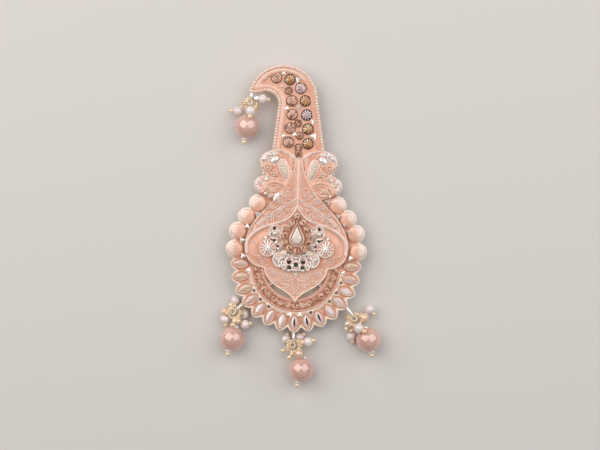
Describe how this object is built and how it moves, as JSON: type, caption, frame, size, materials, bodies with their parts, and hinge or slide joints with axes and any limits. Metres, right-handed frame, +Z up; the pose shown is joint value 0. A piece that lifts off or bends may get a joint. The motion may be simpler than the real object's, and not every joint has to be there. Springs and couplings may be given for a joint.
{
  "type": "turban brooch",
  "caption": "Turban brooch with a hooked plume over a pear-shaped body of lacquered plates, set with crystals, with pearl drops on jump rings and a pin behind.",
  "frame": {"origin": "middle of the footprint, on the surface the brooch lies on", "axes": "+Z up out of the brooch's face, +Y towards the plume, +X to the right seen from the front"},
  "size_m": [0.065, 0.1292, 0.0129],
  "materials": {
    "peach_lacquer": "glossy peach lacquer over cast metal, pale along raised edges",
    "silver_plate": "bright silver plating, pierced and raised",
    "grey_metal": "plain grey metal, satin",
    "gold_plate": "polished pale gold plating",
    "champagne_crystal": "foil-backed faceted champagne crystal",
    "opal_crystal": "foil-backed faceted crystal with a pale iridescent coat",
    "bead_crystal": "milky lavender-white polished beads",
    "pearl": "imitation pearl with a pink copper lustre"
  },
  "bodies": {
    "root": {"back_pin": "grey_metal", "back_plate": "grey_metal", "base_plate": "peach_lacquer", "plume": "peach_lacquer", "plume_stone_1": "champagne_crystal", "plume_stone_2": "champagne_crystal", "plume_stone_3": "champagne_crystal", "plume_stone_4": "champagne_crystal", "plume_stone_5": "champagne_crystal", "plume_stone_6": "champagne_crystal", "plume_stone_7": "champagne_crystal", "plume_stone_8": "champagne_crystal", "plume_stone_9": "champagne_crystal", "plume_stone_10": "champagne_crystal", "plume_stone_11": "champagne_crystal", "shoulder_left": "peach_lacquer", "shoulder_right": "peach_lacquer", "dome_left_1": "peach_lacquer", "dome_right_1": "peach_lacquer", "dome_left_2": "peach_lacquer", "dome_right_2": "peach_lacquer", "dome_left_3": "peach_lacquer", "dome_right_3": "peach_lacquer", "dome_left_4": "peach_lacquer", "dome_right_4": "peach_lacquer", "petal_stone_1": "opal_crystal", "petal_stone_2": "opal_crystal", "petal_stone_3": "opal_crystal", "petal_stone_4": "opal_crystal", "petal_stone_5": "opal_crystal", "petal_stone_6": "opal_crystal", "petal_stone_7": "opal_crystal", "petal_stone_8": "opal_crystal", "petal_stone_9": "opal_crystal", "petal_stone_10": "opal_crystal", "petal_stone_11": "opal_crystal", "petal_stone_12": "opal_crystal", "petal_stone_13": "opal_crystal", "petal_stone_14": "opal_crystal", "petal_stone_15": "opal_crystal", "crescent_setting": "peach_lacquer", "lotus_plate": "peach_lacquer", "openwork_gallery": "silver_plate", "pear_setting": "peach_lacquer", "pear_stone": "opal_crystal", "pearl_tip": "pearl", "pearl_pin_tip": "gold_plate", "bead_cluster_tip": "gold_plate", "pearl_left": "pearl", "pearl_pin_left": "gold_plate", "bead_cluster_left": "gold_plate", "pearl_middle": "pearl", "pearl_pin_middle": "gold_plate", "bead_cluster_middle": "gold_plate", "pearl_right": "pearl", "pearl_pin_right": "gold_plate", "bead_cluster_right": "gold_plate"}
  },
  "joints": []
}
